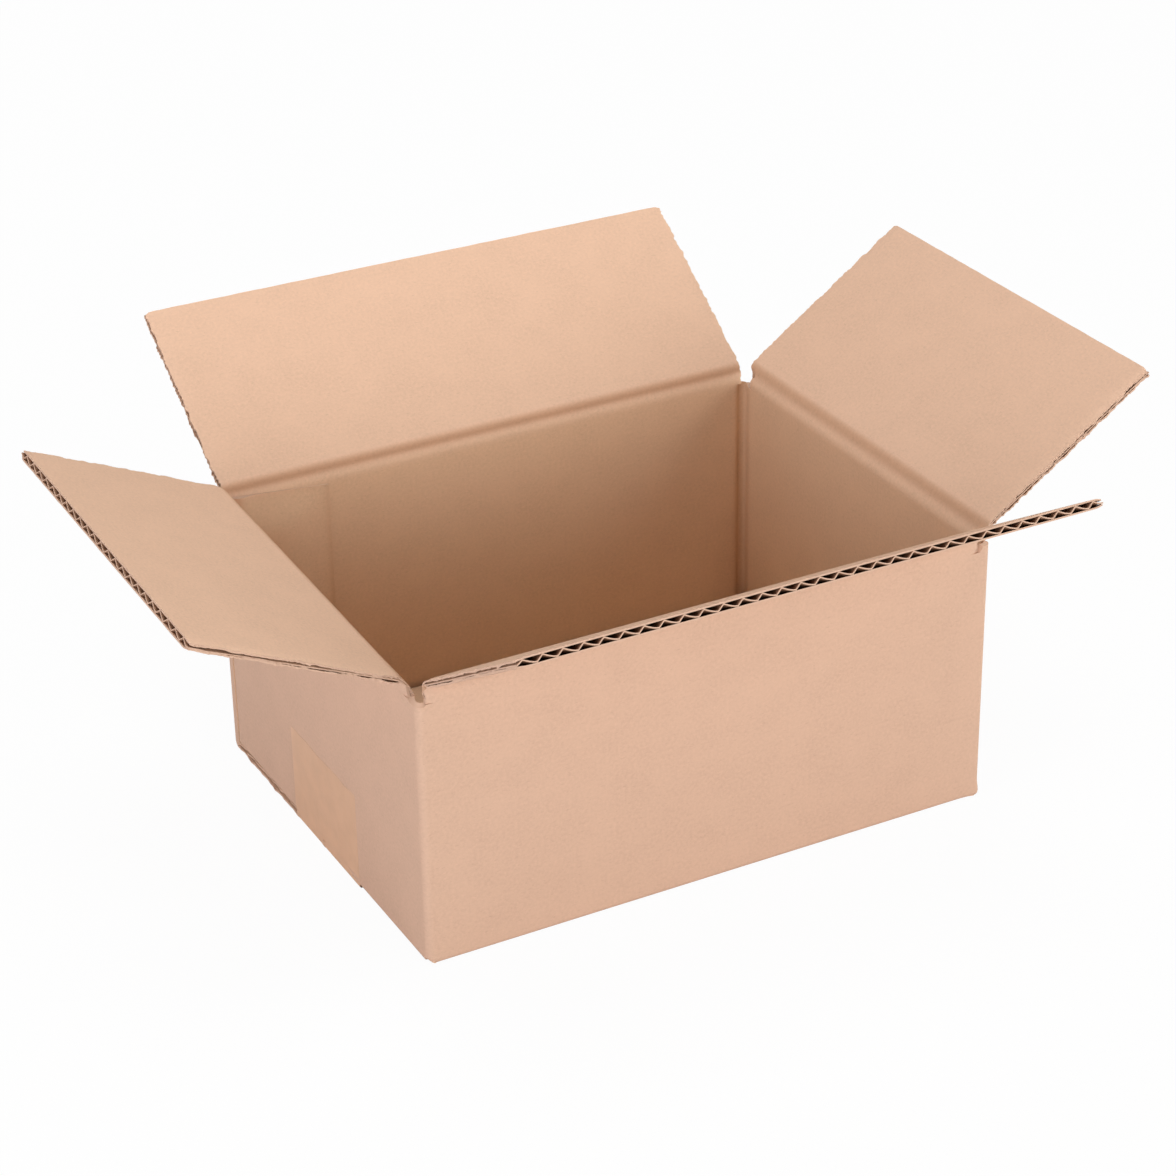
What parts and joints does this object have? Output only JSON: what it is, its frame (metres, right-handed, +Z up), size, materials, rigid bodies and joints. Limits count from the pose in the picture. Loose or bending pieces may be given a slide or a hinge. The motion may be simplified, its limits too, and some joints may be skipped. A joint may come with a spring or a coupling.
{
  "type": "open cardboard box",
  "caption": "Open corrugated cardboard box with a taped bottom and hinged top flaps that stand open.",
  "frame": {"origin": "middle of the underside, on the surface that the box stands on", "axes": "+X along the long walls, +Y towards the back wall, +Z up"},
  "size_m": [0.3364, 0.2815, 0.1419],
  "materials": {
    "kraft_board": "brown kraft liner, matt, with fine fibre flecks and faint flute lines",
    "packing_tape": "thin tan packing tape, smooth with a low sheen"
  },
  "bodies": {
    "carton": {"box_body": "kraft_board", "bottom_tape": "packing_tape"},
    "front": {"front_flap": "kraft_board"},
    "back": {"back_flap": "kraft_board"},
    "left": {"left_flap": "kraft_board"},
    "right": {"right_flap": "kraft_board"}
  },
  "joints": [
    {"name": "front_hinge", "type": "hinge", "parent": "carton", "child": "front", "pos_m": [0, -0.0755, 0.0996], "axis": [1, 0, 0], "range_deg": [-149, 76]},
    {"name": "back_hinge", "type": "hinge", "parent": "carton", "child": "back", "pos_m": [0, 0.0755, 0.0996], "axis": [-1, 0, 0], "range_deg": [-147.5, 77.5]},
    {"name": "left_hinge", "type": "hinge", "parent": "carton", "child": "left", "pos_m": [-0.1025, 0, 0.0983], "axis": [0, -1, 0], "range_deg": [-155, 70]},
    {"name": "right_hinge", "type": "hinge", "parent": "carton", "child": "right", "pos_m": [0.1025, 0, 0.0983], "axis": [0, 1, 0], "range_deg": [-146.5, 78.5]}
  ]
}
